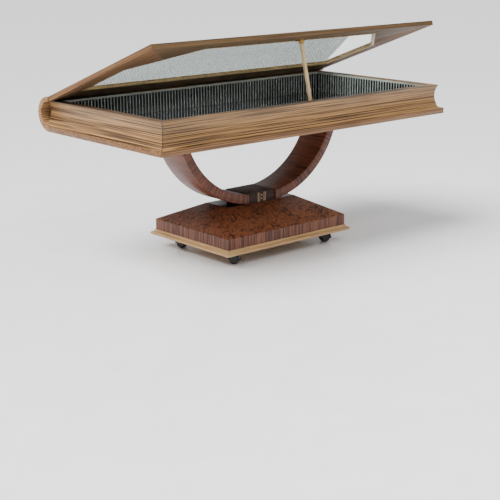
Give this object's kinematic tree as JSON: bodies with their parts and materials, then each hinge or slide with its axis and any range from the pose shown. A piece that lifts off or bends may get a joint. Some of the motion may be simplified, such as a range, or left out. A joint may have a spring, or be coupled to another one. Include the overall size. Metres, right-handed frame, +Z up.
{
  "type": "book-shaped display table",
  "caption": "Free-standing display table shaped like a closed book, with a hinged glass lid on a stay, mirrored case, arched stand, stepped plinth and casters.",
  "frame": {"origin": "on the floor, under the middle of the case's length and depth", "axes": "+X along the case's length, with the stay's foot on that side of its pivot; +Y towards the spine and its hinge; +Z up"},
  "size_m": [1.496, 0.805, 0.909],
  "materials": {
    "board_veneer": "gloss lacquer",
    "page_veneer": "gloss lacquer",
    "mirror": "polished",
    "lid_glass": "clear",
    "light_wood": "satin lacquer",
    "arm_veneer": "satin lacquer",
    "dark_wood": "satin lacquer",
    "burl_veneer": "gloss lacquer",
    "black_lacquer": "satin black lacquer",
    "striped_veneer": "gloss lacquer",
    "base_board": "bare",
    "steel": "zinc plated",
    "brass": "satin",
    "caster_hood": "gloss",
    "caster_wheel": "satin"
  },
  "bodies": {
    "root": {"arch_arm_left": "arm_veneer", "arch_arm_right": "arm_veneer", "arch_bolts": "steel", "block_bolts": "steel", "block_dowels": "light_wood", "block_inlay": "light_wood", "bottom_board": "board_veneer", "caster_plates": "steel", "caster_screws": "steel", "caster_stems": "steel", "centre_block": "dark_wood", "hinge_leaf_spine": "brass", "hinge_pin": "brass", "hinge_screws_spine": "brass", "lining_back": "mirror", "lining_front": "mirror", "lining_left": "mirror", "lining_right": "mirror", "mirror_floor": "mirror", "page_rail_back": "page_veneer", "page_rail_front": "page_veneer", "page_rail_left": "page_veneer", "page_rail_right": "page_veneer", "plinth_band_back": "striped_veneer", "plinth_band_front": "striped_veneer", "plinth_band_left": "striped_veneer", "plinth_band_right": "striped_veneer", "plinth_base_board": "base_board", "plinth_moulding_back": "light_wood", "plinth_moulding_front": "light_wood", "plinth_moulding_left": "light_wood", "plinth_moulding_right": "light_wood", "plinth_slope_back": "burl_veneer", "plinth_slope_front": "burl_veneer", "plinth_slope_left": "burl_veneer", "plinth_slope_right": "burl_veneer", "plinth_top": "black_lacquer", "spine_shell": "board_veneer", "stay_seat": "brass", "stay_seat_screws": "brass"},
    "lid": {"lid_frame_front": "board_veneer", "lid_frame_right": "board_veneer", "lid_frame_back": "board_veneer", "lid_frame_left": "board_veneer", "lid_glass": "lid_glass", "lid_beads": "light_wood", "hinge_leaf_lid": "brass", "hinge_screws_lid": "brass", "stay_bracket": "brass", "stay_bracket_screws": "brass", "stay_pin": "brass"},
    "stay": {"stay_rod": "light_wood"},
    "caster_1": {"caster_1_hood": "caster_hood"},
    "caster_1_wheel_set": {"caster_1_wheels": "caster_wheel"},
    "caster_2": {"caster_2_hood": "caster_hood"},
    "caster_2_wheel_set": {"caster_2_wheels": "caster_wheel"},
    "caster_3": {"caster_3_hood": "caster_hood"},
    "caster_3_wheel_set": {"caster_3_wheels": "caster_wheel"},
    "caster_4": {"caster_4_hood": "caster_hood"},
    "caster_4_wheel_set": {"caster_4_wheels": "caster_wheel"}
  },
  "joints": [
    {"name": "lid_hinge", "type": "hinge", "parent": "root", "child": "lid", "pos_m": [0, 0.3275, 0.66], "axis": [-1, 0, 0], "range_deg": [-20, 0]},
    {"name": "stay_fold", "type": "hinge", "parent": "lid", "child": "stay", "pos_m": [0.005, -0.3062, 0.86032], "axis": [0, 0.9907, -0.1357], "range_deg": [0, 95.5]},
    {"name": "caster_1_swivel", "type": "hinge", "parent": "root", "child": "caster_1", "pos_m": [-0.25, -0.176, 0], "axis": [0, 0, 1], "continuous": true},
    {"name": "caster_1_roll", "type": "hinge", "parent": "caster_1", "child": "caster_1_wheel_set", "pos_m": [-0.2414, -0.18829, 0.02], "axis": [0.8192, 0.5736, 0], "continuous": true},
    {"name": "caster_2_swivel", "type": "hinge", "parent": "root", "child": "caster_2", "pos_m": [0.25, -0.176, 0], "axis": [0, 0, 1], "continuous": true},
    {"name": "caster_2_roll", "type": "hinge", "parent": "caster_2", "child": "caster_2_wheel_set", "pos_m": [0.26449, -0.17988, 0.02], "axis": [0.2588, 0.9659, 0], "continuous": true},
    {"name": "caster_3_swivel", "type": "hinge", "parent": "root", "child": "caster_3", "pos_m": [0.25, 0.16, 0], "axis": [0, 0, 1], "continuous": true},
    {"name": "caster_3_roll", "type": "hinge", "parent": "caster_3", "child": "caster_3_wheel_set", "pos_m": [0.26229, 0.1686, 0.02], "axis": [-0.5736, 0.8192, 0], "continuous": true},
    {"name": "caster_4_swivel", "type": "hinge", "parent": "root", "child": "caster_4", "pos_m": [-0.25, 0.16, 0], "axis": [0, 0, 1], "continuous": true},
    {"name": "caster_4_roll", "type": "hinge", "parent": "caster_4", "child": "caster_4_wheel_set", "pos_m": [-0.24487, 0.14591, 0.02], "axis": [0.9397, 0.342, 0], "continuous": true}
  ],
  "couplings": [
    {"joint": "stay_fold", "follows": "lid_hinge", "ratio": -4.77}
  ]
}
